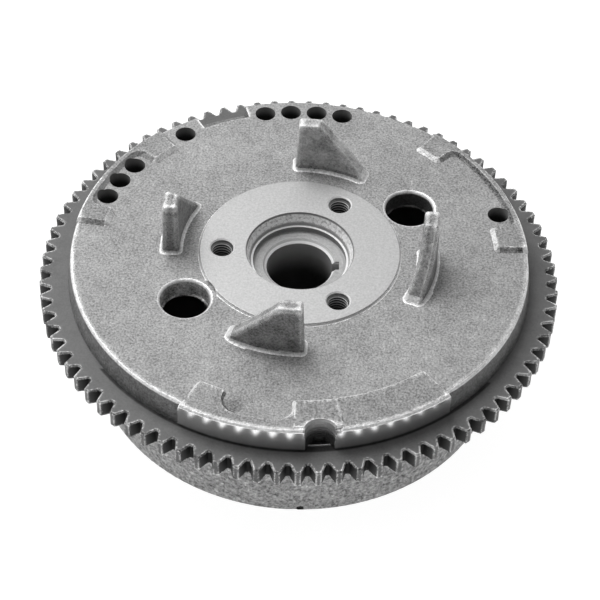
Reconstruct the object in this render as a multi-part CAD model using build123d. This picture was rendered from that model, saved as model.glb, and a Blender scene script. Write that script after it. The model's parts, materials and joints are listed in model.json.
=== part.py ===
from build123d import *
from math import cos, pi, radians, sin
import os

# Flywheel for a small engine: an iron casting that carries a steel starter ring gear outside
# and a ring of magnets inside its skirt.
# Millimetres. +Z is the crankshaft axis and points away from the engine. The origin is on the
# axis in the plane of the skirt's open rim. Angles are degrees from +X, anticlockwise from above.

# Heights above the skirt's rim
RING_TOP = 43.4
RING_THICKNESS = 6.8
DISC_TOP = RING_TOP + 9.0
HUB_FACE = DISC_TOP + 1.0
WEB_UNDERSIDE = DISC_TOP - 8.0
HUB_UNDERSIDE = 13.0
MAGNET_BASE = 8.6
MAGNET_TOP = 35.0

# Starter ring gear: 85 stub teeth of 12 diametral pitch
TEETH = 85
MODULE = 25.4 / 12
TIP_R = (TEETH + 2) * MODULE / 2
TOOTH_DEPTH = 1.8 * MODULE
ROOT_R = TIP_R - TOOTH_DEPTH
TOOTH_ANGLE = 360 / TEETH
FIRST_TOOTH = 203.5
TIP_LAND = 1.7
ROOT_GAP = 1.2
GAP_EDGE_BREAK = 0.3
ROOT_ROUNDING = 0.85
GEAR_SEAT_R = 80.0
GEAR_EDGE_BREAK = 0.5

# Casting, outside
SKIRT_RIM_R = 74.2
SKIRT_TOP_R = 76.4
SKIRT_TOP = 33.2
RIM_FOOT_R = 82.0
RIM_TOP_R = 80.7
RIM_ROUNDING = 1.2
CAST_ROUNDING = 1.0

# Casting, inside
MAGNET_BORE_R = 68.0
CAVITY_R = 66.0
CAVITY_FILLET = 5.0
HUB_UNDER_R = 33.5
HUB_ROOT_R = 35.5

# Hub
HUB_R = 35.3
HUB_RISE_FILLET = 0.5
HUB_EDGE = 0.3
POCKET_MOUTH_R = 19.1
POCKET_FOOT_R = 17.3
POCKET_SHELF = HUB_FACE - 4.9
SEAT_WALL_R = 16.6
NUT_SEAT = HUB_FACE - 7.2
BORE_R = 11.75
BORE_CHAMFER = 1.3
BORE_LENGTH = 5.4
TAPER_PER_MM = 0.05
KEYWAY_WIDTH = 4.0
KEYWAY_R = 14.1

# Puller holes: M8, tapped in the hub face, drawn plain at the thread's outer radius
PULLER_PCD = 55.0
PULLER_ANGLES = (60, 180, 300)
TAP_R = 4.0
TAP_DEPTH = 18.0
TAP_MOUTH_R = 4.5

# Holes through the web
VENT_R = 8.6
VENT_PCD = 92.0
VENT_ANGLES = (32, 212)
VENT_ROUNDING = 1.4

# Balance holes, drilled from the top
BALANCE_HOLE_R = 3.8
BALANCE_PITCH_R = 74.5
BALANCE_DEPTH = 10.0
DRILL_POINT = 1.6
BALANCE_ANGLES = (17.5, 79.1, 86.6, 94.1, 101.6, 126.6, 146.1, 153.3, 160.5)

# Cooling fins
FIN_ANGLES = (0, 90, 180, 270)
FIN_HEIGHT = 20.9
FIN_INNER_R = 42.4
FIN_OUTER_R = 48.5
FIN_DRAFT = 0.45
FIN_SPAN = 31.0
FIN_FLAT_SPAN = 7.5
FIN_END_REACH = 2.3
FIN_END_DRAFT = 0.9
FIN_EDGE = 1.1
FIN_ROOT_FILLET = 1.5

# Raised areas cast on the disc near its rim. Each group has a rise, an outer radius, roundings
# for its outward and inward corners, and sectors of (start angle, end angle, inner radius).
PAD_INNER_R = 69.0
PAD_OUTER_R = RIM_TOP_R + 0.15
BAND_R = 82.6
NOTCH_PAD_RISE = 1.3
RAISED_GROUPS = (
    (1.5, PAD_OUTER_R, 1.8, 2.2, ((2.5, 12.6, 69.0), (12.2, 44.2, 77.4), (43.8, 53.2, 69.0))),
    (1.5, PAD_OUTER_R, 1.8, 2.2, ((131.6, 141.9, 69.0), (141.5, 164.8, 77.4), (164.4, 172.3, 69.0))),
    (0.9, BAND_R, 1.6, 5.2, ((242.6, 251.3, 69.0), (251.0, 270.0, 77.2), (269.7, 274.0, 69.0))),
    (0.7, BAND_R, 1.6, 0, ((281.0, 308.7, 68.4),)),
    (NOTCH_PAD_RISE, RIM_TOP_R + 0.6, 1.6, 0, ((269.4, 282.4, 68.6),)),
)
RAISED_DRAFT = 0.95
RAISED_EDGE = 1.0

# Relief cut into the disc's rim, open to the outside
RELIEF_START = 106.5
RELIEF_END = 120.5
RELIEF_R = 74.6
RELIEF_FLOOR = RING_TOP + 3.0
RELIEF_ROUNDING = 1.2

# Machined trigger band and its timing notch
BAND_START = 242.4
BAND_END = 308.9
BAND_ROOT_R = 78.0
BAND_TOP = DISC_TOP - 0.2
BAND_EDGE = 0.7
BAND_GAP = 0.4
NOTCH_ANGLE = 276.2
NOTCH_CENTRE_R = 83.6
NOTCH_MOUTH_R = 5.45
NOTCH_FLOOR = RING_TOP - 5.0
NOTCH_STEPS = (
    (5.05, NOTCH_FLOOR, HUB_FACE - 4.4),
    (5.25, HUB_FACE - 4.4, HUB_FACE - 3.4),
    (NOTCH_MOUTH_R, HUB_FACE - 3.4, DISC_TOP),
)
NOTCH_CHAMFER = 0.6
SKIRT_NICK_R = 1.3
SKIRT_NICK_ANGLE = 272.5
SKIRT_NICK_HEIGHT = 1.6

# Magnets, their spacers and the sleeve that holds them
MAGNETS = 12
MAGNET_SPAN = 26.0
SLEEVE_THICKNESS = 0.6
MAGNET_INNER_R = 60.6
MAGNET_EDGE = 0.8
SLEEVE_R = MAGNET_INNER_R - SLEEVE_THICKNESS
SLEEVE_TOP = MAGNET_TOP + 1.0
SLEEVE_FOOT_R = MAGNET_BORE_R

OVERLAP = 1.0
NEAR = 0.1
TOP_OF_CUTS = DISC_TOP + 4.0


def polar(radius, angle):
    """A point in the plane at this radius and angle."""
    return radius * cos(radians(angle)), radius * sin(radians(angle))


def radius_of(point):
    """How far a vertex or point is from the axis."""
    return (point.X**2 + point.Y**2) ** 0.5


def turned(corners, start=0.0, sweep=360.0):
    """Turn an outline of (radius, height, rounding) corners about the axis."""
    points = [(radius, height) for radius, height, _ in corners]
    roundings = [rounding for _, _, rounding in corners]
    outline = FilletPolyline(*points, radius=roundings, close=True)
    solid = revolve(Plane.XZ * make_face(outline), Axis.Z, sweep)
    return Rot(0, 0, start) * solid


def sector(inner, outer, low, high, start, end):
    """A square-edged block between two radii, two heights and two angles."""
    corners = ((inner, low, 0), (outer, low, 0), (outer, high, 0), (inner, high, 0))
    return turned(corners, start, end - start)


def casting_blank():
    """The turned shape of the casting: skirt, gear seat, disc, hub, crank hole and cavity."""
    seat_low = RING_TOP - RING_THICKNESS - OVERLAP
    bore_foot = NUT_SEAT - BORE_CHAMFER - BORE_LENGTH
    taper_foot = HUB_UNDERSIDE + BORE_CHAMFER
    taper_r = BORE_R + (bore_foot - taper_foot) * TAPER_PER_MM
    return turned(
        (
            (MAGNET_BORE_R + CAST_ROUNDING, 0, 0),
            (SKIRT_RIM_R, 0, CAST_ROUNDING),
            (SKIRT_TOP_R, SKIRT_TOP, CAST_ROUNDING),
            (GEAR_SEAT_R - CAST_ROUNDING, seat_low - CAST_ROUNDING, 0),
            (GEAR_SEAT_R, seat_low, 0),
            (GEAR_SEAT_R, RING_TOP, 0),
            (RIM_FOOT_R, RING_TOP, 0),
            (RIM_TOP_R, DISC_TOP, RIM_ROUNDING),
            (HUB_R + HUB_RISE_FILLET, DISC_TOP, HUB_RISE_FILLET),
            (HUB_R, HUB_FACE, HUB_EDGE),
            (POCKET_MOUTH_R, HUB_FACE, 0),
            (POCKET_FOOT_R, POCKET_SHELF, 0),
            (SEAT_WALL_R, POCKET_SHELF, 0),
            (SEAT_WALL_R, NUT_SEAT, 0),
            (BORE_R + BORE_CHAMFER, NUT_SEAT, 0),
            (BORE_R, NUT_SEAT - BORE_CHAMFER, 0),
            (BORE_R, bore_foot, 0),
            (taper_r, taper_foot, 0),
            (taper_r + BORE_CHAMFER, HUB_UNDERSIDE, 0),
            (HUB_UNDER_R, HUB_UNDERSIDE, CAST_ROUNDING),
            (HUB_ROOT_R, WEB_UNDERSIDE, CAVITY_FILLET),
            (CAVITY_R, WEB_UNDERSIDE, CAVITY_FILLET),
            (CAVITY_R, MAGNET_TOP, 0),
            (MAGNET_BORE_R, MAGNET_TOP, 0),
            (MAGNET_BORE_R, CAST_ROUNDING, 0),
        )
    )


def fin():
    """One curved cooling fin: a drafted wall whose top slopes down clockwise to its tail."""
    top = DISC_TOP + FIN_HEIGHT
    wall = turned(
        (
            (FIN_INNER_R - FIN_DRAFT * OVERLAP / FIN_HEIGHT, DISC_TOP - OVERLAP, 0),
            (FIN_OUTER_R + FIN_DRAFT * OVERLAP / FIN_HEIGHT, DISC_TOP - OVERLAP, 0),
            (FIN_OUTER_R - FIN_DRAFT, top, 0),
            (FIN_INNER_R + FIN_DRAFT, top, 0),
        ),
        -FIN_SPAN - FIN_FLAT_SPAN,
        FIN_SPAN + 2 * FIN_FLAT_SPAN,
    )
    middle_r = (FIN_INNER_R + FIN_OUTER_R) / 2
    flat_end = polar(middle_r, -FIN_FLAT_SPAN)
    tail = polar(middle_r, -FIN_SPAN)
    run = Vector(tail[0] - flat_end[0], tail[1] - flat_end[1], 0)
    slope = Plane(
        origin=(*flat_end, top),
        x_dir=run - Vector(0, 0, FIN_HEIGHT),
        z_dir=run.rotate(Axis.Z, 90).cross(run - Vector(0, 0, FIN_HEIGHT)),
    )
    if slope.z_dir.Z < 0:
        slope = -slope
    wall = split(wall, bisect_by=slope, keep=Keep.BOTTOM)
    end_face = Plane(
        origin=(middle_r, FIN_END_REACH + FIN_END_DRAFT / 2, DISC_TOP),
        x_dir=(1, 0, 0),
        z_dir=(0, FIN_HEIGHT, FIN_END_DRAFT),
    )
    wall = split(wall, bisect_by=end_face, keep=Keep.BOTTOM)
    edges = [edge for edge in wall.edges() if edge.center().Z > DISC_TOP + NEAR]
    return fillet(edges, FIN_EDGE)


def flat_sector(inner, outer, start, end):
    """A flat sector of a ring."""
    sweep = end - start
    outer_arc = CenterArc((0, 0), outer, start, sweep)
    inner_arc = CenterArc((0, 0), inner, start, sweep)
    sides = [Line(inner_arc @ 0, outer_arc @ 0), Line(inner_arc @ 1, outer_arc @ 1)]
    return make_face([outer_arc, inner_arc, *sides])


def raised_area(rise, outer, outward, inward, sectors):
    """A group of joined pads and strips with drafted sides, trimmed to the rim."""
    reach = outer + 2 * OVERLAP
    outline = Sketch() + [flat_sector(inner, reach, start, end) for start, end, inner in sectors]
    strip_r = max(inner for _, _, inner in sectors)
    corners = [corner for corner in outline.vertices() if radius_of(corner) < outer]
    joins = [corner for corner in corners if len(sectors) > 1 and radius_of(corner) > strip_r - NEAR]
    if joins:
        outline = fillet(joins, inward)
    corners = [corner for corner in outline.vertices() if radius_of(corner) < PAD_INNER_R + NEAR]
    outline = fillet(corners, outward)
    block = Pos(0, 0, DISC_TOP - OVERLAP) * extrude(outline, rise + OVERLAP)
    block = chamfer(block.faces().sort_by(Axis.Z)[-1].edges(), rise * RAISED_DRAFT)
    envelope = turned(
        (
            (0, DISC_TOP - OVERLAP, 0),
            (outer, DISC_TOP - OVERLAP, 0),
            (outer, DISC_TOP + rise, RAISED_EDGE),
            (0, DISC_TOP + rise, 0),
        )
    )
    return block & envelope


def trigger_band():
    """The turned band at the front of the rim, with a relief above the ring gear."""
    band = sector(BAND_ROOT_R, BAND_R, RING_TOP + BAND_GAP, BAND_TOP, BAND_START, BAND_END)
    top_edges = band.faces().sort_by(Axis.Z)[-1].edges().filter_by(GeomType.CIRCLE)
    outer_edges = top_edges.sort_by(Edge.length)[-1:]
    return chamfer(outer_edges, BAND_EDGE)


def hole_cutter(*wall):
    """A cutter on the axis, its wall given as (radius, height) from the bottom of the hole up."""
    corners = [(radius, height, 0) for radius, height in wall]
    top = wall[-1][1]
    return turned((*corners, (0, top, 0)))


def at(radius, angle, cutter):
    """Move a cutter from the axis to this radius and angle."""
    x, y = polar(radius, angle)
    return Pos(x, y, 0) * cutter


def puller_hole():
    """A tapped hole with a drill point and a countersunk mouth."""
    floor = HUB_FACE - TAP_DEPTH
    return hole_cutter(
        (0, floor - DRILL_POINT),
        (TAP_R, floor),
        (TAP_R, HUB_FACE - TAP_MOUTH_R + TAP_R),
        (TAP_MOUTH_R + OVERLAP, HUB_FACE + OVERLAP),
    )


def balance_hole():
    """A shallow drilled hole with a drill point."""
    floor = DISC_TOP - BALANCE_DEPTH
    return hole_cutter(
        (0, floor - DRILL_POINT),
        (BALANCE_HOLE_R, floor),
        (BALANCE_HOLE_R, TOP_OF_CUTS),
    )


def vent_hole():
    """A hole through the web with a rounded mouth."""
    mouth_r = VENT_R + VENT_ROUNDING + OVERLAP
    outline = (
        (0, WEB_UNDERSIDE - CAVITY_FILLET, 0),
        (VENT_R, WEB_UNDERSIDE - CAVITY_FILLET, 0),
        (VENT_R, DISC_TOP, VENT_ROUNDING),
        (mouth_r, DISC_TOP, 0),
        (mouth_r, TOP_OF_CUTS, 0),
        (0, TOP_OF_CUTS, 0),
    )
    return turned(outline)


def rim_relief():
    """A stretch of the rim cut back and down, with its upper edge rounded."""
    reach = RIM_FOOT_R + OVERLAP
    lip_r = RELIEF_R - RELIEF_ROUNDING - OVERLAP
    outline = (
        (reach, RELIEF_FLOOR, 0),
        (reach, TOP_OF_CUTS, 0),
        (lip_r, TOP_OF_CUTS, 0),
        (lip_r, DISC_TOP, 0),
        (RELIEF_R, DISC_TOP, RELIEF_ROUNDING),
        (RELIEF_R, RELIEF_FLOOR, RELIEF_ROUNDING),
    )
    return turned(outline, RELIEF_START, RELIEF_END - RELIEF_START)


def notch():
    """A stepped half-round cut in the trigger band."""
    mouth_r, mouth = NOTCH_MOUTH_R, DISC_TOP + NOTCH_PAD_RISE
    wall = [(0, NOTCH_FLOOR)]
    ceiling = mouth - NOTCH_CHAMFER
    for radius, start, end in NOTCH_STEPS:
        wall += [(radius, start), (radius, end)]
    wall += [(mouth_r, ceiling), (mouth_r + NOTCH_CHAMFER + OVERLAP, mouth + OVERLAP)]
    return hole_cutter(*wall)


def keyway():
    """A keyway cut beside the crank hole from the nut seat to the hub's underside."""
    length = NUT_SEAT - HUB_UNDERSIDE + 2 * OVERLAP
    slot = extrude(Rectangle(KEYWAY_R, KEYWAY_WIDTH, align=(Align.MIN, Align.CENTER)), length)
    return Pos(0, 0, HUB_UNDERSIDE - OVERLAP) * slot


def skirt_nick():
    """A small drill nick in the outside of the skirt, just above its rim."""
    nick = Pos(SKIRT_RIM_R, 0, SKIRT_NICK_HEIGHT) * Rot(0, 90, 0) * Cylinder(SKIRT_NICK_R, 2 * OVERLAP)
    return Rot(0, 0, SKIRT_NICK_ANGLE) * nick


def flywheel_casting():
    casting = casting_blank() + trigger_band()
    for group in RAISED_GROUPS:
        casting += raised_area(*group)
    casting -= rim_relief()
    for angle in FIN_ANGLES:
        casting += Rot(0, 0, angle) * fin()
    fin_feet = [
        edge
        for edge in casting.edges()
        if abs(edge.center().Z - DISC_TOP) < NEAR
        and FIN_INNER_R - OVERLAP < radius_of(edge.center()) < FIN_OUTER_R + OVERLAP
    ]
    casting = fillet(fin_feet, FIN_ROOT_FILLET)
    for angle in PULLER_ANGLES:
        casting -= at(PULLER_PCD / 2, angle, puller_hole())
    for angle in VENT_ANGLES:
        casting -= at(VENT_PCD / 2, angle, vent_hole())
    for angle in BALANCE_ANGLES:
        casting -= at(BALANCE_PITCH_R, angle, balance_hole())
    casting -= at(NOTCH_CENTRE_R, NOTCH_ANGLE, notch())
    casting -= keyway()
    casting -= skirt_nick()
    return casting


def tooth_gap(growth=0.0):
    """The flat outline of one gap between two teeth, centred on +X, grown on all sides."""
    half_root = ROOT_GAP / 2 + growth
    half_mouth = (2 * pi * TIP_R / TEETH - TIP_LAND) / 2 + growth
    flank_spread = (half_mouth - half_root) / TOOTH_DEPTH
    outline = Polyline(
        (ROOT_R - growth, -half_root),
        (TIP_R + OVERLAP, -half_mouth - flank_spread * OVERLAP),
        (TIP_R + OVERLAP, half_mouth + flank_spread * OVERLAP),
        (ROOT_R - growth, half_root),
        close=True,
    )
    return fillet(make_face(outline).vertices().sort_by(Axis.X)[:2], half_root * ROOT_ROUNDING)


def tooth_gap_cutter():
    """One gap's cutter, flared at both ends to break the tooth edges."""
    low = RING_TOP - RING_THICKNESS
    cutter = Pos(0, 0, low - OVERLAP) * extrude(tooth_gap(), RING_THICKNESS + 2 * OVERLAP)
    reach = GAP_EDGE_BREAK + OVERLAP
    for face, outward in ((RING_TOP, 1), (low, -1)):
        mouth = [
            Pos(0, 0, face - outward * GAP_EDGE_BREAK) * tooth_gap(),
            Pos(0, 0, face + outward * OVERLAP) * tooth_gap(reach),
        ]
        cutter += loft(mouth)
    return cutter


def starter_ring_gear():
    low = RING_TOP - RING_THICKNESS
    blank = turned(
        (
            (GEAR_SEAT_R, low + GEAR_EDGE_BREAK, 0),
            (GEAR_SEAT_R + GEAR_EDGE_BREAK, low, 0),
            (TIP_R - GEAR_EDGE_BREAK, low, 0),
            (TIP_R, low + GEAR_EDGE_BREAK, 0),
            (TIP_R, RING_TOP - GEAR_EDGE_BREAK, 0),
            (TIP_R - GEAR_EDGE_BREAK, RING_TOP, 0),
            (GEAR_SEAT_R, RING_TOP, 0),
        )
    )
    gap = tooth_gap_cutter()
    gaps = [Rot(0, 0, FIRST_TOOTH + (i + 0.5) * TOOTH_ANGLE) * gap for i in range(TEETH)]
    return blank - gaps


def magnet(number):
    """One arc magnet with eased inner edges."""
    middle = number * 360 / MAGNETS
    start = middle - MAGNET_SPAN / 2
    arc = sector(MAGNET_INNER_R, MAGNET_BORE_R, MAGNET_BASE, MAGNET_TOP, start, start + MAGNET_SPAN)
    upright = arc.edges().filter_by(Axis.Z)
    inner_corners = upright.sort_by(lambda edge: radius_of(edge.center()))[:2]
    return chamfer(inner_corners, MAGNET_EDGE)


def magnet_spacer(number):
    """The moulded strip between one magnet and the next."""
    gap = 360 / MAGNETS - MAGNET_SPAN
    start = number * 360 / MAGNETS + MAGNET_SPAN / 2
    return sector(MAGNET_INNER_R, MAGNET_BORE_R, MAGNET_BASE, MAGNET_TOP, start, start + gap)


def magnet_sleeve():
    """A thin sleeve inside the magnets, with a foot turned out under them."""
    foot = MAGNET_BASE - SLEEVE_THICKNESS
    return turned(
        (
            (SLEEVE_R, foot, SLEEVE_THICKNESS),
            (SLEEVE_FOOT_R, foot, 0),
            (SLEEVE_FOOT_R, MAGNET_BASE, 0),
            (MAGNET_INNER_R, MAGNET_BASE, 0),
            (MAGNET_INNER_R, SLEEVE_TOP, 0),
            (SLEEVE_R, SLEEVE_TOP, 0),
        )
    )


def main():
    os.makedirs("parts", exist_ok=True)
    nodes = {
        "flywheel_casting": flywheel_casting(),
        "starter_ring_gear": starter_ring_gear(),
        "magnet_sleeve": magnet_sleeve(),
    }
    for number in range(MAGNETS):
        nodes[f"magnet_{number + 1:02d}"] = magnet(number)
        nodes[f"magnet_spacer_{number + 1:02d}"] = magnet_spacer(number)
    for name, shape in nodes.items():
        export_step(shape, f"parts/{name}.step")


main()
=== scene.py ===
import json
import math
import random

import bmesh
import bpy
from mathutils import Matrix, Vector

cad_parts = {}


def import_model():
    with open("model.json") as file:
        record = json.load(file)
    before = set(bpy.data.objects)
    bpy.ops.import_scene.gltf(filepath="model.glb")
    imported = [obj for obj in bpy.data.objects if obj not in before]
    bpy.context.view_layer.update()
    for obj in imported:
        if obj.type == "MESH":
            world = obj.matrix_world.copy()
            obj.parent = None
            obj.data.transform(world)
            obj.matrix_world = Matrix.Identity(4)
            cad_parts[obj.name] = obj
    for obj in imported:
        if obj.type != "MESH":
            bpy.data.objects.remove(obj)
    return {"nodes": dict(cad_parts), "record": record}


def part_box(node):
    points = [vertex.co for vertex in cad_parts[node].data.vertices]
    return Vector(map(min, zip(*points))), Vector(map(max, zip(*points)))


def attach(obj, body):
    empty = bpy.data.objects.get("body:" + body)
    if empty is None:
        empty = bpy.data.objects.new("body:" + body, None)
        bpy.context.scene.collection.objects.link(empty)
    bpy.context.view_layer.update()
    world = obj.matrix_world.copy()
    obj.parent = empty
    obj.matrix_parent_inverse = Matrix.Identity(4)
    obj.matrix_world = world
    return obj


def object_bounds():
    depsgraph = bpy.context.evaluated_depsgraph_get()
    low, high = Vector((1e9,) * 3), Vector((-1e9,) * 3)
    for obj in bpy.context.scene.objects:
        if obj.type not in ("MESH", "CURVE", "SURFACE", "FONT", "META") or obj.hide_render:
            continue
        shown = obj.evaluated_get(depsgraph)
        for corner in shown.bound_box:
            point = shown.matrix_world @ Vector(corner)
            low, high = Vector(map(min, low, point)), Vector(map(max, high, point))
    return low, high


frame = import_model()
cad_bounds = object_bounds()
nodes = frame["nodes"]
mounts = {mount["name"]: mount for mount in frame["record"]["mounts"]}

MM = 0.001
ROOT = "root"

# The casting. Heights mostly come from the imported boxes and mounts; the rest repeat the CAD's.
HUB_FACE = mounts["hub_face"]["pos_m"][2]
NUT_SEAT = mounts["nut_seat"]["pos_m"][2]
RING_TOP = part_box("starter_ring_gear")[1].z
RING_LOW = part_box("starter_ring_gear")[0].z
DISC_TOP = HUB_FACE - 1.0 * MM
HUB_R = 35.3 * MM
POCKET_R = 19.1 * MM
KEYWAY_R = 14.1 * MM
BAND_R = 82.6 * MM
RIM_R = 80.7 * MM
RELIEF_R = 74.6 * MM  # inner radius of the relief cut into the rim
STRIP_R = 77.4 * MM  # inner radius of the raised strips along the rim
PAD_R = 69.0 * MM  # inner radius of the raised pads
TIP_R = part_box("starter_ring_gear")[1].x
HUB_UNDERSIDE = 13.0 * MM

PULLER_R = mounts["puller_holes"]["dims"]["pcd_mm"] / 2 * MM
PULLER_ANGLES = (60, 180, 300)
THREAD_OUTER_R = mounts["puller_holes"]["dims"]["hole_r_mm"] * MM
THREAD_INNER_R = 3.35 * MM
THREAD_PITCH = 1.25 * MM
THREAD_LENGTH = 17.0 * MM
MOUTH_R = 4.5 * MM

BALANCE_R = 74.5 * MM
BALANCE_HOLE_R = 3.8 * MM
BALANCE_ANGLES = (17.5, 79.1, 86.6, 94.1, 101.6, 126.6, 146.1, 153.3, 160.5)

VENT_PITCH_R = 46.0 * MM
VENT_R = 8.6 * MM
VENT_ANGLES = (32, 212)

NOTCH_R = 83.6 * MM
NOTCH_ANGLE = 276.2
NOTCH_MOUTH_R = 6.05 * MM

# Where one look of the casting gives way to another
MASK_SOFT = 0.05 * MM  # half the width of a mask's edge, unless it says otherwise
SKIRT_TOP = RING_LOW + 1 * MM
HUB_HOLES_FROM = HUB_UNDERSIDE + 1 * MM
FIN_FOOT = DISC_TOP + 2.4 * MM
FIN_SHADE_TOP = DISC_TOP + 20 * MM
FIN_ZONE_R = 58 * MM
PADS_FROM_R = 66 * MM
FRONT_Y = -50 * MM
BACK_FIN_Y = 35 * MM
NUT_SHELF = NUT_SEAT + 2.3 * MM
CHAMFER_DEPTH = 1.35 * MM
COUNTERSINK_DEPTH = 0.48 * MM

# Painted shade at the tight bend at the left end of the front recess: on its wall, and on the disc
# at the wall's foot, each as a radius and an angle
BEND_WALL = (73.5 * MM, 252.5)
BEND_WALL_REACH = 5.5 * MM
BEND_FOOT = (75.0 * MM, 254.2)
BEND_FOOT_REACH = 3.4 * MM

# Sizes of the noise in the cast skin
GRAIN_SIZE = 0.75 * MM
COARSE_SIZE = 1.4 * MM
LUMP_SIZE = 4.5 * MM
STAIN_SIZE = 24 * MM

# Tones, from 0 for black to 1 for white
SKIN_TONE = 0.300
# Polished tone: worn cast skin, also used as a painted highlight
POLISHED_AND_HIGHLIT_TONE = 0.80
HUB_FACE_TONE = 0.43
UNDERSIDE_TONE = 0.34
BAND_TONE = 0.97
LIT_CONE_TONE = 0.96
SHELF_TONE = 0.72
SHADED_SEAT_WALL_TONE = 0.20
SEAT_TONE = 0.36
COUNTERSINK_TONE = 0.95
GEAR_TONE = 0.125
# The gear's edges: part wear, part painted highlight
WORN_AND_HIGHLIT_GEAR_TONE = 1.0

# How far the edges stand out before they count as worn and highlit, and as bare metal with a painted
# highlight
WORN_AND_HIGHLIT_FROM = 0.20
WORN_AND_HIGHLIT_FULL = 0.76

# Depth of the bump on each kind of surface
CAST_BUMP = 0.22 * MM
GEAR_BUMP = 0.04 * MM
FINE_BUMP = 0.02 * MM


def polar(radius, angle, z=0.0):
    turn = math.radians(angle)
    return Vector((radius * math.cos(turn), radius * math.sin(turn), z))


# ---------------------------------------------------------------- materials


class Graph:
    """Builds one material out of nodes, working in the object's own coordinates in metres."""

    def __init__(self, name):
        self.material = bpy.data.materials.new(name)
        self.material.use_nodes = True
        self.tree = self.material.node_tree
        self.tree.nodes.clear()
        self.shader = self.add("ShaderNodeBsdfPrincipled")
        output = self.add("ShaderNodeOutputMaterial")
        self.tree.links.new(self.shader.outputs["BSDF"], output.inputs["Surface"])
        self.place = self.add("ShaderNodeTexCoord").outputs["Object"]
        axes = self.add("ShaderNodeSeparateXYZ", self.place)
        self.x, self.y, self.z = axes.outputs
        self.radius = self.distance(Vector((0, 0, 0)))

    def add(self, kind, *inputs, **settings):
        node = self.tree.nodes.new(kind)
        for key, value in settings.items():
            setattr(node, key, value)
        for socket, value in zip(node.inputs, inputs):
            self.put(socket, value)
        return node

    def put(self, socket, value):
        if isinstance(value, bpy.types.NodeSocket):
            self.tree.links.new(value, socket)
        elif value is not None:
            socket.default_value = value

    def math(self, operation, *inputs):
        return self.add("ShaderNodeMath", *inputs, operation=operation).outputs[0]

    def times(self, *values):
        product = values[0]
        for value in values[1:]:
            product = self.math("MULTIPLY", product, value)
        return product

    def plus(self, *values):
        total = values[0]
        for value in values[1:]:
            total = self.math("ADD", total, value)
        return total

    def largest(self, *values):
        top = values[0]
        for value in values[1:]:
            top = self.math("MAXIMUM", top, value)
        return top

    def inverse(self, value):
        return self.math("SUBTRACT", 1.0, value)

    def rise(self, value, low, high):
        """0 below low, 1 above high, smooth between."""
        node = self.add("ShaderNodeMapRange", value, low, high, 0.0, 1.0)
        node.interpolation_type = "SMOOTHSTEP"
        return node.outputs[0]

    def above(self, value, edge, soft=MASK_SOFT):
        return self.rise(value, edge - soft, edge + soft)

    def below(self, value, edge, soft=MASK_SOFT):
        return self.inverse(self.above(value, edge, soft))

    def mix(self, factor, a, b):
        node = self.add("ShaderNodeMix", factor)
        self.put(node.inputs[2], a)
        self.put(node.inputs[3], b)
        return node.outputs[0]

    def distance(self, centre):
        """Distance in the plane from an axis that stands at this point."""
        dx = self.math("SUBTRACT", self.x, centre.x)
        dy = self.math("SUBTRACT", self.y, centre.y)
        return self.math("SQRT", self.plus(self.times(dx, dx), self.times(dy, dy)))

    def near_any(self, centres, radius, soft=MASK_SOFT):
        masks = [self.below(self.distance(centre), radius, soft) for centre in centres]
        return self.largest(*masks)

    def noise(self, size, detail=2.0, roughness=0.5, place=None):
        """Noise with features of about this size, from 0 to 1."""
        node = self.add("ShaderNodeTexNoise")
        self.put(node.inputs["Vector"], place or self.place)
        self.put(node.inputs["Scale"], 1 / size)
        self.put(node.inputs["Detail"], detail)
        self.put(node.inputs["Roughness"], roughness)
        return node.outputs[0]

    def swing(self, size, detail=2.0, roughness=0.5):
        """Noise about zero."""
        return self.plus(self.noise(size, detail, roughness), -0.5)

    def rings(self, size):
        """Turning marks: noise that changes with radius and height only."""
        place = self.add("ShaderNodeCombineXYZ", self.radius, 0.0, self.z).outputs[0]
        return self.noise(size, 3.0, 0.6, place)

    def tone(self, base, *parts):
        """A base value with weighted parts added: (part, weight), (part, weight)..."""
        return self.plus(base, *(self.times(part, weight) for part, weight in parts))

    def convex_edges(self, reach):
        """1 along outward edges, 0 on flats."""
        node = self.add("ShaderNodeAmbientOcclusion", samples=6, inside=True, only_local=True)
        self.put(node.inputs["Distance"], reach)
        return self.inverse(node.outputs["AO"])

    def hollows(self, reach):
        """1 deep in corners, 0 in the open."""
        node = self.add("ShaderNodeAmbientOcclusion", samples=6, only_local=True)
        self.put(node.inputs["Distance"], reach)
        return self.inverse(node.outputs["AO"])

    def facing_up(self):
        """How far the surface faces up: 1 on tops, 0 on walls, below 0 underneath."""
        facing = self.add("ShaderNodeTexCoord").outputs["Normal"]
        return self.add("ShaderNodeSeparateXYZ", facing).outputs["Z"]

    def sloping(self):
        """1 on surfaces that lean between flat and upright, 0 on flats and walls."""
        up = self.facing_up()
        return self.times(self.rise(up, 0.15, 0.40), self.inverse(self.rise(up, 0.93, 0.99)))

    def upright(self):
        """1 on walls and undersides, 0 on anything that leans or lies flat on top."""
        return self.inverse(self.rise(self.facing_up(), 0.10, 0.35))

    def bump(self, height, depth, strength=1.0, normal=None):
        node = self.add("ShaderNodeBump")
        self.put(node.inputs["Strength"], strength)
        self.put(node.inputs["Distance"], depth)
        self.put(node.inputs["Height"], height)
        self.put(node.inputs["Normal"], normal)
        return node.outputs[0]

    def finish(self, color, metallic, roughness, normal=None):
        self.put(self.shader.inputs["Base Color"], color)
        self.put(self.shader.inputs["Metallic"], metallic)
        self.put(self.shader.inputs["Roughness"], roughness)
        self.put(self.shader.inputs["Normal"], normal)
        return self.material


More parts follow.
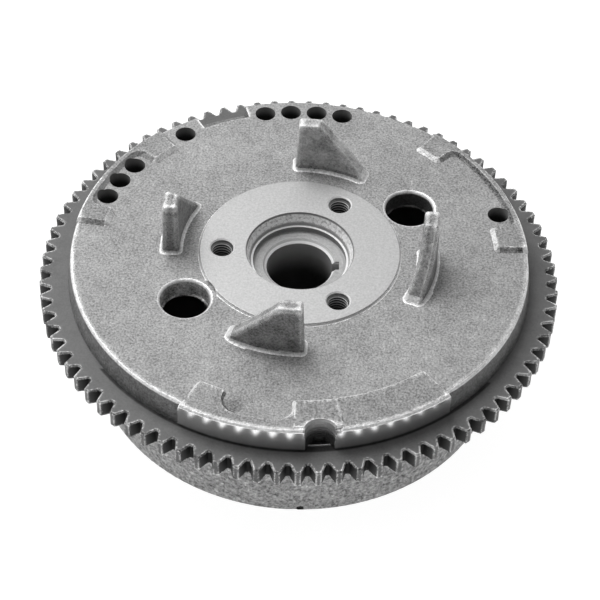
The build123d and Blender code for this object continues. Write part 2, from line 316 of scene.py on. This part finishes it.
def machined_areas(g):
    """Masks for the casting's machined surfaces."""
    over_ring = g.above(g.z, SKIRT_TOP)
    in_hub = g.above(g.z, HUB_HOLES_FROM)
    puller_axes = [polar(PULLER_R, angle) for angle in PULLER_ANGLES]
    balance_axes = [polar(BALANCE_R, angle) for angle in BALANCE_ANGLES]
    on_hub = g.above(g.z, HUB_FACE - 0.2 * MM)
    over_seat = g.above(g.z, NUT_SEAT - 0.05 * MM)
    under_seat = g.below(g.z, NUT_SEAT - 0.05 * MM)
    on_band = g.times(g.above(g.radius, BAND_R - 0.3 * MM), g.above(g.z, RING_TOP + 0.3 * MM))
    hub_base = g.below(g.z, HUB_UNDERSIDE + 0.2 * MM)
    return {
        "face": g.times(on_hub, g.below(g.radius, HUB_R + 0.15 * MM)),
        "pocket": g.times(over_seat, g.below(g.radius, POCKET_R + 0.1 * MM)),
        "bore": g.times(g.below(g.radius, KEYWAY_R + 0.3 * MM), under_seat),
        "band": g.times(on_band, g.upright()),
        "pullers": g.times(g.near_any(puller_axes, MOUTH_R), in_hub),
        "balances": g.times(g.near_any(balance_axes, BALANCE_HOLE_R + 0.05 * MM), over_ring),
        "notch": g.times(g.near_any([polar(NOTCH_R, NOTCH_ANGLE)], NOTCH_MOUTH_R), over_ring),
        "underside": g.times(hub_base, g.below(g.radius, HUB_R)),
    }


def highlit_slopes(g, front, on_fins):
    """Leaning surfaces given a painted highlight in the polished tone: near the hub, by the rim and
    on the front pads.
    """
    where = g.largest(g.below(g.radius, FIN_ZONE_R), g.above(g.radius, RIM_R - 1.5 * MM))
    where = g.largest(where, front, g.times(g.below(g.radius, PAD_R + 1.8 * MM), 0.8))
    return g.times(g.sloping(), where, g.inverse(on_fins))


def edges_worn_and_highlit(g, on_fins, speckle, lumps):
    """Where the cast skin is bright, part wear and part painted highlight: outward edges, fin feet,
    vent mouths and the rim.
    """
    sharp = g.rise(g.convex_edges(1.4 * MM), 0.06, 0.34)
    broad = g.rise(g.convex_edges(2.8 * MM), 0.16, 0.42)
    front = g.times(g.below(g.y, FRONT_Y), g.below(g.radius, STRIP_R - 0.6 * MM, 0.5 * MM))
    slopes = highlit_slopes(g, front, on_fins)
    skirt = g.below(g.z, SKIRT_TOP)
    holes = [polar(BALANCE_R, angle) for angle in BALANCE_ANGLES]
    round_holes = g.near_any(holes, BALANCE_HOLE_R + 1.6 * MM, 0.4 * MM)
    # Less painted highlight on the back of the rim and around the balance holes, a wider one on the
    # front of the rim
    back_rim = g.times(g.above(g.y, 25 * MM, 20 * MM), g.above(g.radius, RIM_R - 1.5 * MM), 0.6)
    front_rim = g.times(g.below(g.y, 15 * MM, 15 * MM), g.above(g.radius, RIM_R - 2.5 * MM))
    edges = g.mix(g.largest(on_fins, front_rim), sharp, broad)
    bare_and_highlit = g.largest(edges, g.times(slopes, 0.9))
    wear_and_highlight = g.times(bare_and_highlit, g.inverse(g.largest(skirt, back_rim, round_holes)))
    return g.rise(g.tone(wear_and_highlight, (speckle, 1.1), (lumps, 0.7)), WORN_AND_HIGHLIT_FROM, WORN_AND_HIGHLIT_FULL)


def strip_sides(g):
    """The leaning inner side of the raised strips along the rim, on the back half."""
    level = g.times(g.above(g.z, DISC_TOP + 0.1 * MM), g.below(g.z, DISC_TOP + 1.4 * MM))
    level = g.times(level, g.above(g.y, 0.0))
    inner = g.above(g.radius, STRIP_R - 0.1 * MM)
    return g.times(level, inner, g.below(g.radius, STRIP_R + 1.5 * MM), g.sloping())


def vent_wall(g, angle):
    """The wall of one vent, below its mouth: cast_skin paints shade on one, and painted light with a
    rough mottle on the other.
    """
    near = g.near_any([polar(VENT_PITCH_R, angle)], VENT_R + 0.1 * MM)
    return g.times(near, g.below(g.z, DISC_TOP - 1.2 * MM, 0.4 * MM))


def recess_bend_shade(g):
    """Masks for painted shade in the front recess: on its tight bend, and on the disc below that."""
    wall = g.times(g.near_any([polar(*BEND_WALL)], BEND_WALL_REACH, 1.0 * MM), g.sloping())
    wall = g.times(wall, g.above(g.radius, PAD_R + 1.2 * MM, 0.6 * MM))
    low = g.above(g.z, DISC_TOP - 0.3 * MM)
    level = g.times(low, g.below(g.z, DISC_TOP + 0.5 * MM, 0.3 * MM))
    return wall, g.times(g.near_any([polar(*BEND_FOOT)], BEND_FOOT_REACH, 2.4 * MM), level)


def rim_flank(g, skirt):
    """The upright side of the disc, between the ring gear and the rim's edge, and the relief."""
    outside = g.above(g.radius, RELIEF_R - 0.3 * MM, 0.2 * MM)
    flank = g.times(outside, g.below(g.z, DISC_TOP - 0.9 * MM, 0.3 * MM))
    return g.times(flank, g.inverse(skirt))


def cast_skin(g):
    """Colour with painted light and shade, wear, height, grain and lumps of the as-cast surface."""
    skirt = g.below(g.z, SKIRT_TOP)
    flank = rim_flank(g, skirt)
    on_fins = g.above(g.z, FIN_FOOT, 0.3 * MM)
    up_fins = g.rise(g.z, DISC_TOP + 2 * MM, FIN_SHADE_TOP)
    pads = g.above(g.z, DISC_TOP + 0.5 * MM)
    pads = g.times(pads, g.inverse(on_fins), g.above(g.radius, PADS_FROM_R))
    shaded_vent, lit_rough_vent = (vent_wall(g, angle) for angle in VENT_ANGLES)
    on_strip = strip_sides(g)
    # Painted light on the strips' inner sides on the left, painted shade on those on the right
    strip_light_and_shade = g.mix(g.above(g.x, 0.0), 0.10, -0.13)
    bend_shade, bend_foot_shade = recess_bend_shade(g)

    grain = g.swing(GRAIN_SIZE, 3.0, 0.7)
    coarse = g.swing(COARSE_SIZE, 3.0, 0.75)
    lumps = g.swing(LUMP_SIZE, 3.0, 0.55)
    stains = g.swing(STAIN_SIZE, 3.0, 0.55)
    speckle = g.mix(skirt, grain, g.times(coarse, 1.6))

    plain = g.largest(flank, shaded_vent, lit_rough_vent, on_strip, bend_shade)
    wear_and_highlight = g.times(edges_worn_and_highlit(g, on_fins, speckle, lumps), g.inverse(plain))
    # Painted light: the back fin is lifted lighter
    lit_back_fin = g.times(on_fins, g.above(g.y, BACK_FIN_Y))
    # Painted shade, growing towards the right of the skirt
    shaded_right_skirt = g.times(skirt, g.rise(g.x, 0.0, 80 * MM))
    skin = g.tone(
        SKIN_TONE,
        (speckle, g.mix(flank, 0.80, 0.45)),
        (lumps, g.mix(on_fins, 0.18, 0.34)),
        (stains, 0.17),
        (pads, -0.045),
        # Painted shade in corners and hollows
        (g.hollows(5.0 * MM), -0.10),
        (up_fins, -0.06),
        # Painted shade on the disc's upright side
        (flank, -0.12),
        (lit_back_fin, g.tone(0.15, (lumps, 0.6))),
        (on_strip, strip_light_and_shade),
        (shaded_right_skirt, -0.07),
        # Painted shade on the recess's bend and on the disc at its foot
        (bend_shade, -0.05),
        (bend_foot_shade, -0.12),
        # Painted light with a rough mottle on the left vent's wall
        (lit_rough_vent, g.tone(0.17, (speckle, 0.9), (lumps, 1.3))),
    )
    # Polished tone, part wear and part painted highlight
    polished_and_highlit = g.tone(POLISHED_AND_HIGHLIT_TONE, (speckle, 1.0), (lumps, 0.6))
    # Painted shade: the right vent's wall darkened to 0.30 of its tone
    skin = g.times(g.mix(wear_and_highlight, skin, polished_and_highlit), g.mix(shaded_vent, 1.0, 0.30))
    return skin, wear_and_highlight, g.tone(speckle, (lumps, 2.0)), grain, lumps


def pocket_look(g, marks, facets):
    """The counterbore for the crank nut: turned cone brightened as painted light, seat wall darkened
    as painted shade, grey seat.
    """
    cone = g.tone(LIT_CONE_TONE, (marks, 0.9), (facets, 1.0))
    cone = g.mix(g.above(g.z, HUB_FACE - 0.7 * MM, 0.2 * MM), cone, 0.25)
    cone = g.mix(g.below(g.z, NUT_SHELF + 1.3 * MM, 0.5 * MM), cone, 0.30)
    color = g.mix(g.below(g.z, NUT_SHELF + 0.1 * MM), cone, SHELF_TONE)
    color = g.mix(g.below(g.z, NUT_SHELF - 0.1 * MM), color, g.tone(SHADED_SEAT_WALL_TONE, (marks, 0.2)))
    seat = g.tone(SEAT_TONE, (facets, 0.12), (marks, 0.10))
    return g.mix(g.below(g.z, NUT_SEAT + 0.15 * MM), color, seat)


def bore_look(g, marks):
    """The crank hole: a bright chamfer, then a wall whose painted shade deepens with depth."""
    wall = g.mix(g.rise(g.z, NUT_SEAT - 17 * MM, NUT_SEAT - 1 * MM), 0.04, 0.50)
    wall = g.tone(wall, (marks, 0.05))
    chamfer = g.mix(g.above(g.z, NUT_SEAT - 0.6 * MM, 0.15 * MM), 1.0, 0.58)
    return g.mix(g.above(g.z, NUT_SEAT - CHAMFER_DEPTH), wall, chamfer)


def puller_look(g, marks):
    """A tapped hole: bright countersink, and threads with painted shade that deepens with depth and
    in their roots.
    """
    axes = [polar(PULLER_R, angle) for angle in PULLER_ANGLES]
    crests = g.near_any(axes, THREAD_INNER_R + 0.20 * MM, 0.12 * MM)
    depth = g.rise(g.z, HUB_FACE - 9 * MM, HUB_FACE - 1.0 * MM)
    wall = g.times(g.mix(crests, 0.03, 0.60), g.tone(0.06, (depth, 0.9)))
    wall = g.mix(g.above(g.z, HUB_FACE - 1.5 * MM, 0.6 * MM), wall, 0.42)
    countersink = g.above(g.z, HUB_FACE - COUNTERSINK_DEPTH)
    mouth = g.times(countersink, g.inverse(g.near_any(axes, THREAD_OUTER_R)))
    return g.mix(mouth, wall, g.tone(COUNTERSINK_TONE, (marks, 0.1)))


def cast_iron():
    g = Graph("cast_iron_looks")
    areas = machined_areas(g)
    turned = g.largest(areas["face"], areas["bore"], areas["underside"])
    others = [areas[name] for name in ("pocket", "band", "pullers", "balances", "notch")]
    machined = g.largest(turned, *others)
    skin, wear_and_highlight, skin_height, grain, lumps = cast_skin(g)
    marks = g.plus(g.rings(0.35 * MM), -0.5)
    facets = g.times(g.swing(1.0 * MM, 2.0, 0.6), 1.8)
    up_hole = g.rise(g.z, DISC_TOP - 5 * MM, DISC_TOP - 0.5 * MM)

    tones = {
        "face": g.tone(HUB_FACE_TONE, (marks, 0.06), (grain, 0.34)),
        "underside": g.tone(UNDERSIDE_TONE, (marks, 0.12), (grain, 0.2)),
        "bore": bore_look(g, marks),
        "pocket": pocket_look(g, marks, facets),
        "pullers": puller_look(g, marks),
        # Hole walls: painted shade, darkest deep down and lighter near the top
        "balances": g.tone(0.03, (up_hole, 0.30), (marks, 0.10)),
        "notch": g.tone(0.06, (up_hole, 0.40), (marks, 0.60)),
        "band": g.tone(BAND_TONE, (marks, 0.06)),
    }
    color = skin
    for name, tone in tones.items():
        color = g.mix(areas[name], color, tone)

    rough = g.tone(0.55, (lumps, 0.12), (wear_and_highlight, -0.12))
    rough = g.mix(machined, rough, g.tone(0.44, (marks, 0.10)))
    rough = g.mix(areas["band"], rough, g.tone(0.20, (marks, 0.06)))
    metallic = g.mix(machined, g.mix(wear_and_highlight, 0.30, 0.45), g.mix(areas["band"], 0.55, 1.0))
    metallic = g.mix(g.largest(areas["pocket"], areas["balances"]), metallic, 0.25)

    height = g.mix(machined, skin_height, g.times(grain, 0.2))
    height = g.mix(areas["pocket"], height, g.plus(g.times(marks, 0.9), g.times(facets, 0.5)))
    height = g.mix(areas["band"], height, g.times(marks, 0.02))
    return g.finish(color, metallic, rough, g.bump(height, CAST_BUMP))


def gear_steel():
    g = Graph("gear_steel_looks")
    g.put(g.shader.inputs["Specular IOR Level"], 0.25)
    grain = g.swing(0.6 * MM, 3.0, 0.6)
    stains = g.swing(6 * MM, 4.0, 0.65)
    marks = g.plus(g.rings(0.4 * MM), -0.5)
    edges = g.rise(g.convex_edges(1.1 * MM), 0.12, 0.32)
    flank = g.times(g.below(g.z, RING_TOP - 0.3 * MM), g.below(g.radius, TIP_R - 0.35 * MM))
    # Painted shadow on the gear's top next to the band, at the front
    band_shadow_on_gear = g.times(g.below(g.radius, BAND_R + 0.5 * MM, 0.4 * MM), g.below(g.y, FRONT_Y))
    skin = g.tone(
        GEAR_TONE,
        (grain, 0.06),
        (stains, 0.08),
        (marks, 0.02),
        # Painted shade in corners
        (g.hollows(4.0 * MM), -0.06),
        (band_shadow_on_gear, -0.09),
    )
    # Painted shade on the tooth flanks, darkest at the root, lighter towards the tip
    towards_tip = g.rise(g.radius, TIP_R - 3.6 * MM, TIP_R - 0.2 * MM)
    skin = g.times(skin, g.mix(flank, 1.0, g.mix(towards_tip, 0.08, 0.50)))
    # Edges painted near white: part wear, part painted highlight
    gear_wear_and_highlight = g.times(edges, g.rise(g.tone(stains, (grain, 0.9)), -0.16, 0.16))
    color = g.mix(gear_wear_and_highlight, skin, WORN_AND_HIGHLIT_GEAR_TONE)
    rough = g.tone(0.56, (stains, 0.15), (marks, 0.10), (flank, 0.1))
    normal = g.bump(g.tone(grain, (marks, 0.6)), GEAR_BUMP)
    return g.finish(color, 0.45, rough, normal)


def ferrite():
    g = Graph("ferrite_looks")
    grain = g.noise(0.4 * MM, 3.0, 0.6)
    stains = g.noise(6 * MM, 3.0, 0.5)
    edges = g.convex_edges(0.6 * MM)
    color = g.tone(0.035, (grain, 0.02), (stains, 0.02), (edges, 0.05))
    rough = g.tone(0.38, (stains, 0.2))
    return g.finish(color, 0.0, rough, g.bump(grain, FINE_BUMP))


def spacer_plastic():
    g = Graph("spacer_plastic_looks")
    grain = g.noise(0.3 * MM, 2.0, 0.5)
    stains = g.noise(5 * MM, 2.0, 0.5)
    color = g.tone(0.02, (stains, 0.012))
    rough = g.tone(0.48, (grain, 0.15))
    return g.finish(color, 0.0, rough, g.bump(grain, FINE_BUMP))


def sleeve_steel():
    g = Graph("sleeve_steel_looks")
    marks = g.rings(0.6 * MM)
    stains = g.swing(12 * MM, 3.0, 0.5)
    color = g.tone(0.50, (stains, 0.10))
    rough = g.tone(0.26, (marks, 0.12))
    return g.finish(color, 1.0, rough, g.bump(marks, FINE_BUMP))


# ---------------------------------------------------------------- pieces


def piece_from(name, mesh, material):
    """A new object that rides with the wheel and takes the material it is given."""
    mesh.materials.append(material)
    piece = bpy.data.objects.new(name, mesh)
    bpy.context.scene.collection.objects.link(piece)
    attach(piece, ROOT)
    return piece


def swept(name, sections, closed):
    """A mesh whose sections, each a closed loop of points, are joined one to the next."""
    bm = bmesh.new()
    loops = [[bm.verts.new(point) for point in section] for section in sections]
    count = len(loops[0])
    pairs = list(zip(loops, loops[1:]))
    if closed:
        pairs.append((loops[-1], loops[0]))
    for near, far in pairs:
        for i in range(count):
            j = (i + 1) % count
            bm.faces.new((near[i], near[j], far[j], far[i]))
    if not closed:
        bm.faces.new(list(reversed(loops[0])))
        bm.faces.new(loops[-1])
    bmesh.ops.recalc_face_normals(bm, faces=bm.faces)
    mesh = bpy.data.meshes.new(name)
    bm.to_mesh(mesh)
    bm.free()
    return mesh


THREAD_STEPS = 36  # sections to a turn
THREAD_CREST = 0.12 * MM
THREAD_ROOT = 0.98 * THREAD_PITCH
THREAD_RUNOUT = 0.6  # turns over which the ridge fades out at each end
THREAD_START = HUB_FACE - (MOUTH_R - THREAD_OUTER_R) - THREAD_PITCH * 0.45


def puller_thread(number, angle, material):
    """The helical ridge of one tapped hole, running out at its mouth."""
    centre = polar(PULLER_R, angle)
    total = int(THREAD_LENGTH / THREAD_PITCH * THREAD_STEPS)
    runout = THREAD_STEPS * THREAD_RUNOUT
    sections = []
    for i in range(total + 1):
        turn = 360 * i / THREAD_STEPS
        z = THREAD_START - THREAD_PITCH * i / THREAD_STEPS
        fade = min(1, (i + 2) / runout, (total - i + 2) / runout)
        crest_r = THREAD_OUTER_R - (THREAD_OUTER_R - THREAD_INNER_R) * fade
        half = THREAD_ROOT / 2 * fade
        profile = (
            (THREAD_OUTER_R, half),
            (crest_r, THREAD_CREST / 2),
            (crest_r, -THREAD_CREST / 2),
            (THREAD_OUTER_R, -half),
        )
        sections.append([centre + polar(r, -turn, z + dz) for r, dz in profile])
    mesh = swept(f"puller_thread_{number}", sections, closed=False)
    return piece_from(f"puller_thread_{number}", mesh, material)


FLASH_STEPS = 90
FLASH_SEED = 100
FLASH_DEPTH = 7.2 * MM
FLASH_ROOT_R = VENT_R + 0.05 * MM
FLASH_HALF_ROOT = 0.5 * MM
FLASH_HALF_EDGE = 0.12 * MM
FLASH_JUT = 0.42  # mm, as are the next three
FLASH_JUT_SWING = 1.6
FLASH_JUT_JITTER = 0.12
FLASH_RISE = 0.8
FLASH_WAVES = ((2, 6, 0.12), (7, 13, 0.10), (17, 29, 0.07))  # fewest, most, size


def vent_flash(number, angle, material):
    """The ragged parting line left on the wall of one cast vent."""
    rng = random.Random(FLASH_SEED + number)
    centre = polar(VENT_PITCH_R, angle)
    waves = [
        (rng.randint(fewest, most), rng.uniform(0, 360), size) for fewest, most, size in FLASH_WAVES
    ]
    sections = []
    for i in range(FLASH_STEPS):
        turn = 360 * i / FLASH_STEPS
        swing = sum(
            size * math.sin(math.radians(count * turn + phase)) for count, phase, size in waves
        )
        jitter = rng.uniform(-FLASH_JUT_JITTER, FLASH_JUT_JITTER)
        edge_r = VENT_R - (FLASH_JUT + FLASH_JUT_SWING * swing + jitter) * MM
        z = DISC_TOP - FLASH_DEPTH + FLASH_RISE * swing * MM
        profile = (
            (FLASH_ROOT_R, FLASH_HALF_ROOT),
            (edge_r, FLASH_HALF_EDGE),
            (edge_r, -FLASH_HALF_EDGE),
            (FLASH_ROOT_R, -FLASH_HALF_ROOT),
        )
        sections.append([centre + polar(r, turn, z + dz) for r, dz in profile])
    mesh = swept(f"vent_flash_{number}", sections, closed=True)
    return piece_from(f"vent_flash_{number}", mesh, material)


def dress():
    """Give every CAD node its material and add the finer pieces."""
    casting = cast_iron()
    looks = {
        "cast_iron": casting,
        "gear_steel": gear_steel(),
        "ferrite": ferrite(),
        "spacer_plastic": spacer_plastic(),
        "sleeve_steel": sleeve_steel(),
    }
    slots = {part["node"]: part["material_slot"] for part in frame["record"]["subparts"]}
    for name, node in nodes.items():
        node.data.materials.clear()
        node.data.materials.append(looks[slots[name]])
    for i, angle in enumerate(PULLER_ANGLES, 1):
        puller_thread(i, angle, casting)
    for i, angle in enumerate(VENT_ANGLES, 1):
        vent_flash(i, angle, casting)


# ---------------------------------------------------------------- studio

FLOOR_R = 12.0
FLOOR_SIDES = 96
FLOOR_TONE = 0.28
FLOOR_GLOW = 0.93
GLOW_FROM = 0.0708  # the floor glows outside the skirt, so that it looks white
GLOW_FULL = 0.0730


def floor():
    """A plain white floor, lit a little from within outside the wheel's own footprint."""
    bm = bmesh.new()
    bmesh.ops.create_circle(bm, cap_ends=True, segments=FLOOR_SIDES, radius=FLOOR_R)
    mesh = bpy.data.meshes.new("floor")
    bm.to_mesh(mesh)
    bm.free()
    g = Graph("floor_looks")
    glow = g.times(g.rise(g.radius, GLOW_FROM, GLOW_FULL), FLOOR_GLOW)
    g.put(g.shader.inputs["Emission Color"], (1, 1, 1, 1))
    g.put(g.shader.inputs["Emission Strength"], glow)
    paper = g.noise(40 * MM, 2.0, 0.5)
    g.finish(g.tone(FLOOR_TONE, (paper, 0.02)), 0.0, 0.9)
    mesh.materials.append(g.material)
    plane = bpy.data.objects.new("floor", mesh)
    bpy.context.scene.collection.objects.link(plane)
    plane.location.z = cad_bounds[0].z


SKY_SLOPE = (-0.18, 0.42, 0.55)  # brighter to the left, behind and above
SKY_LEVEL = 0.20
SKY_STRENGTH = 0.85


def world():
    """Soft surroundings, brighter above and behind, darker in front and on the right."""
    scene = bpy.context.scene
    scene.world = bpy.data.worlds.new("studio")
    scene.world.use_nodes = True
    tree = scene.world.node_tree
    background = tree.nodes["Background"]
    where = tree.nodes.new("ShaderNodeTexCoord")
    weigh = tree.nodes.new("ShaderNodeVectorMath")
    weigh.operation = "DOT_PRODUCT"
    weigh.inputs[1].default_value = SKY_SLOPE
    level = tree.nodes.new("ShaderNodeMath")
    level.operation = "ADD"
    level.inputs[1].default_value = SKY_LEVEL
    level.use_clamp = True
    tree.links.new(where.outputs["Generated"], weigh.inputs[0])
    tree.links.new(weigh.outputs["Value"], level.inputs[0])
    tree.links.new(level.outputs[0], background.inputs["Color"])
    background.inputs["Strength"].default_value = SKY_STRENGTH


KEY_PLACE = Vector((-0.55, 0.50, 1.22))
KEY_AIM = Vector((0, 0, 0.05))
KEY_SIZE = 1.0
KEY_POWER = 17.0


def key_light():
    """One large soft light, from behind, above and to the left."""
    light = bpy.data.lights.new("key", "AREA")
    light.shape = "SQUARE"
    light.size = KEY_SIZE
    light.energy = KEY_POWER
    lamp = bpy.data.objects.new("key", light)
    lamp.location = KEY_PLACE
    lamp.rotation_euler = (KEY_AIM - KEY_PLACE).to_track_quat("-Z", "Y").to_euler()
    bpy.context.scene.collection.objects.link(lamp)


AIM = Vector((0.65, -14.8, 43.4)) * MM
ELEVATION = 46.765
ROLL = 2.067
DISTANCE = 0.67407
LENS = 115.115
SENSOR = 36.0
CLIP_START = 0.01


def camera():
    """The product view: from the front, looking down, leaning a little to one side."""
    tilt = math.radians(ELEVATION)
    roll = math.radians(ROLL)
    back = Vector((0, -math.cos(tilt), math.sin(tilt)))
    level_up = Vector((0, math.sin(tilt), math.cos(tilt)))
    right = Vector((1, 0, 0)) * math.cos(roll) + level_up * math.sin(roll)
    up = back.cross(right)
    data = bpy.data.cameras.new("camera")
    data.lens = LENS
    data.sensor_width = SENSOR
    data.clip_start = CLIP_START
    eye = bpy.data.objects.new("camera", data)
    turn = Matrix((right, up, back)).transposed().to_4x4()
    eye.matrix_world = Matrix.Translation(AIM + back * DISTANCE) @ turn
    bpy.context.scene.collection.objects.link(eye)
    bpy.context.scene.camera = eye


def studio():
    floor()
    world()
    key_light()
    camera()
    bpy.context.scene.view_settings.view_transform = "Standard"


dress()
studio()
